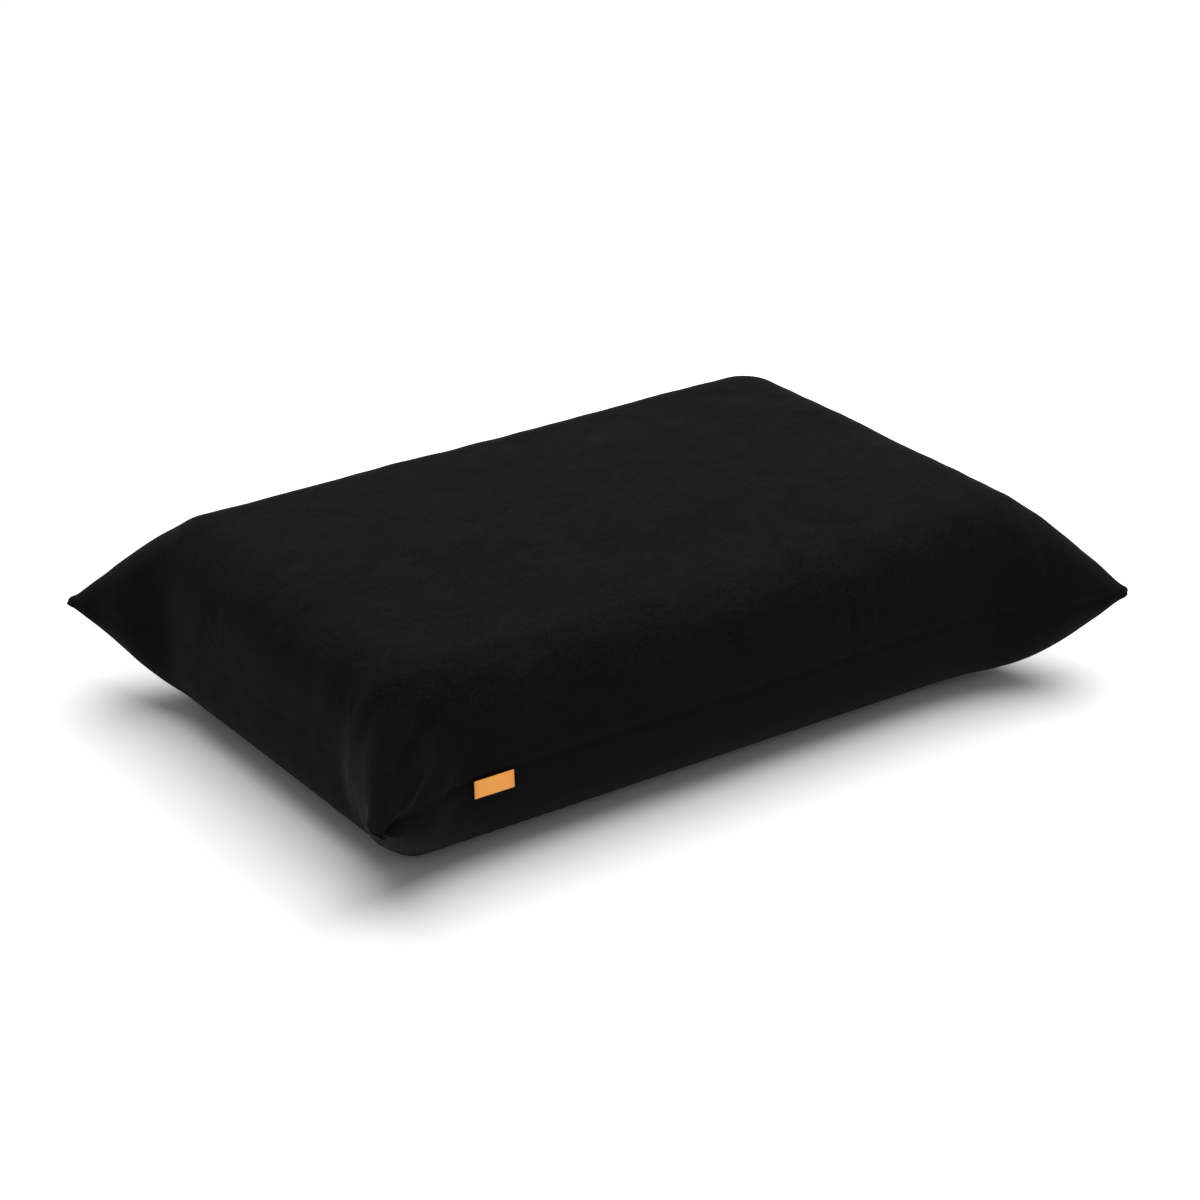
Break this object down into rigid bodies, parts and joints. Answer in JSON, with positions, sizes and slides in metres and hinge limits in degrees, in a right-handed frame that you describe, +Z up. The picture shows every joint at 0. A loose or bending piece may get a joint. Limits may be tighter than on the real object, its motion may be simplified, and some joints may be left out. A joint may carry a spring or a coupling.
{
  "type": "camp pillow",
  "caption": "Flat-topped travel pillow for camping: a rounded foam block in a liner, inside a soft dark cover with pointed corners, a rear zip and a small side label.",
  "frame": {"origin": "on the floor under the middle of the pillow", "axes": "+X along the pillow, -Y towards the long side that carries the orange label, +Y towards the zip, +Z up"},
  "size_m": [0.4572, 0.3052, 0.1054],
  "materials": {
    "foam": "slow open-cell polyurethane foam, matte cream",
    "liner": "thin knitted polyester, light grey",
    "cover": "short-nap brushed velour, near black, matte with a faint sheen at grazing angles",
    "zip_tape": "woven polyester tape, black",
    "zip_teeth": "nylon coil, black, slight gloss",
    "zip_metal": "black lacquered zinc",
    "side_label": "close-woven polyester, bright orange",
    "care_label": "thin white satin"
  },
  "bodies": {
    "pillow": {"foam_core": "foam", "liner_top": "liner", "liner_bottom": "liner", "cover_top_panel": "cover", "cover_bottom_panel": "cover", "zip_tape_upper": "zip_tape", "zip_tape_lower": "zip_tape", "zip_coil_upper": "zip_teeth", "zip_coil_lower": "zip_teeth", "zip_top_stop_upper": "zip_metal", "zip_top_stop_lower": "zip_metal", "zip_bottom_stop": "zip_metal"},
    "slider": {"zip_slider": "zip_metal"},
    "pull": {"zip_pull": "zip_metal"},
    "side_flap": {"side_label": "side_label"},
    "care_flap": {"care_label": "care_label"}
  },
  "joints": [
    {"name": "zip_slide", "type": "slide", "parent": "pillow", "child": "slider", "axis": [-1, 0, 0], "range_m": [0, 0.2774]},
    {"name": "pull_swing", "type": "hinge", "parent": "slider", "child": "pull", "pos_m": [0.1387, 0.13595, 0.0527], "axis": [0, 0, -1], "range_deg": [0, 180]},
    {"name": "side_label_flap", "type": "hinge", "parent": "pillow", "child": "side_flap", "pos_m": [-0.154, -0.13481, 0.0527], "axis": [-1, 0, 0], "range_deg": [0, 150]},
    {"name": "care_label_flap", "type": "hinge", "parent": "pillow", "child": "care_flap", "pos_m": [0.20571, 0.045, 0.0527], "axis": [0, -1, 0], "range_deg": [0, 150]}
  ]
}
